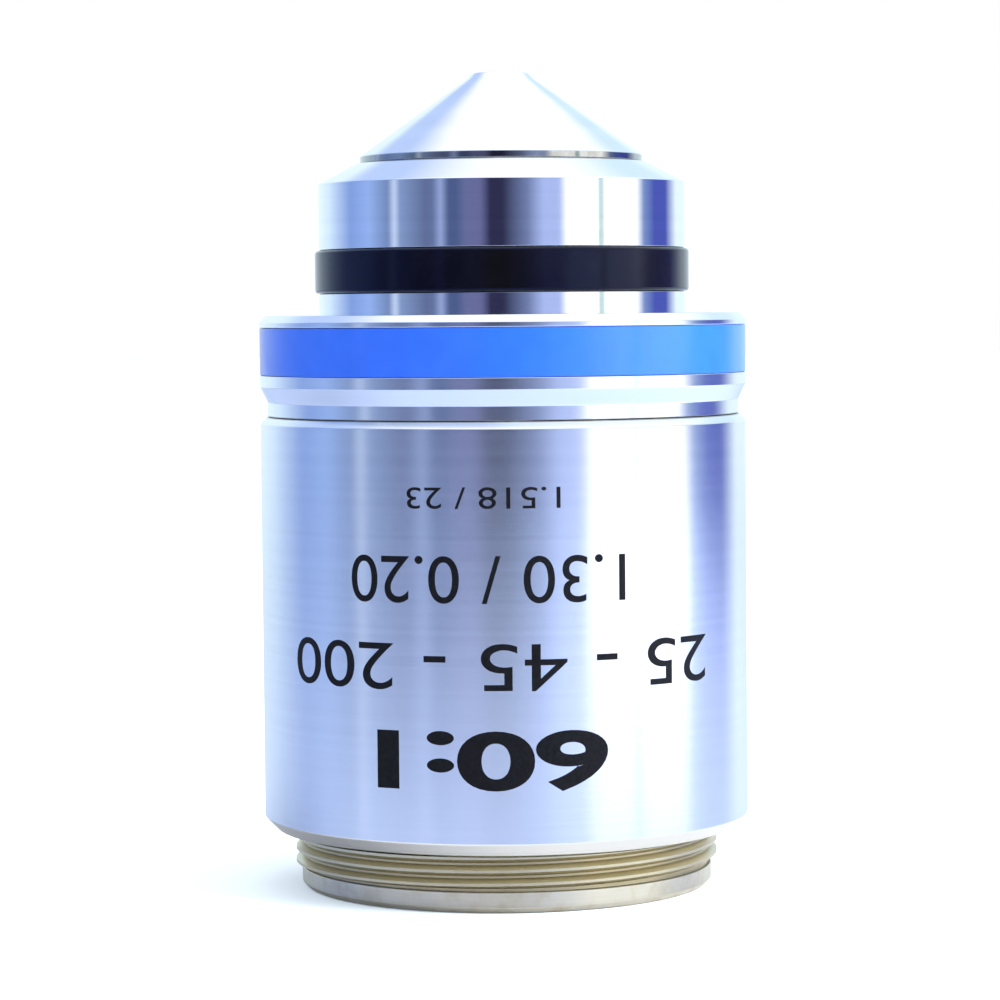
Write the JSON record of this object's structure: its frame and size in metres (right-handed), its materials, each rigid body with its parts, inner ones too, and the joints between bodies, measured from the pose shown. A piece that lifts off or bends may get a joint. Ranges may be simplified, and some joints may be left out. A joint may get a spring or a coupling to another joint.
{
  "type": "microscope objective",
  "caption": "Oil immersion microscope objective: chromed barrel on a brass mounting thread, coloured band, and a spring-loaded nose with a conical tip and black ring.",
  "frame": {"origin": "centre of the mounting thread's rear end face, on the optical axis: the face that the part stands on", "axes": "+Z along the optical axis from the mounting thread to the front lens; X and Y are equal, and the guide screw of the nose is on the +Y side"},
  "size_m": [0.0286, 0.0286, 0.0478],
  "materials": {
    "thread_brass": "turned, lightly oiled",
    "satin_chrome": "satin chrome, turned",
    "blue_enamel": "gloss enamel",
    "black_ring": "satin black",
    "lens_glass": "polished, coated",
    "black_anodised": "matte black anodised",
    "blackened_brass": "chemically blackened",
    "spring_steel": "drawn wire"
  },
  "bodies": {
    "housing": {"thread_mount": "thread_brass", "outer_sleeve": "satin_chrome", "front_ring": "satin_chrome", "magnification_band": "blue_enamel", "retraction_spring": "spring_steel", "guide_screw": "spring_steel"},
    "nose": {"nose_sleeve": "satin_chrome", "immersion_ring": "black_ring", "front_cone": "satin_chrome", "front_lens": "lens_glass", "meniscus_lens": "lens_glass", "meniscus_ring": "black_anodised", "lens_barrel": "blackened_brass", "collector_cell": "black_anodised", "collector_lens": "lens_glass", "front_spacer": "black_anodised", "middle_cell": "black_anodised", "middle_crown_lens": "lens_glass", "middle_flint_lens": "lens_glass", "aperture_stop": "black_anodised", "rear_spacer": "black_anodised", "rear_cell": "black_anodised", "rear_crown_lens": "lens_glass", "rear_flint_lens": "lens_glass", "retaining_ring": "black_anodised"}
  },
  "joints": [
    {"name": "nose_retract", "type": "slide", "parent": "housing", "child": "nose", "axis": [0, 0, -1], "range_m": [0, 0.00115], "stiffness_N_per_m": 320, "springref_m": -0.006, "deforming": ["retraction_spring"]}
  ]
}
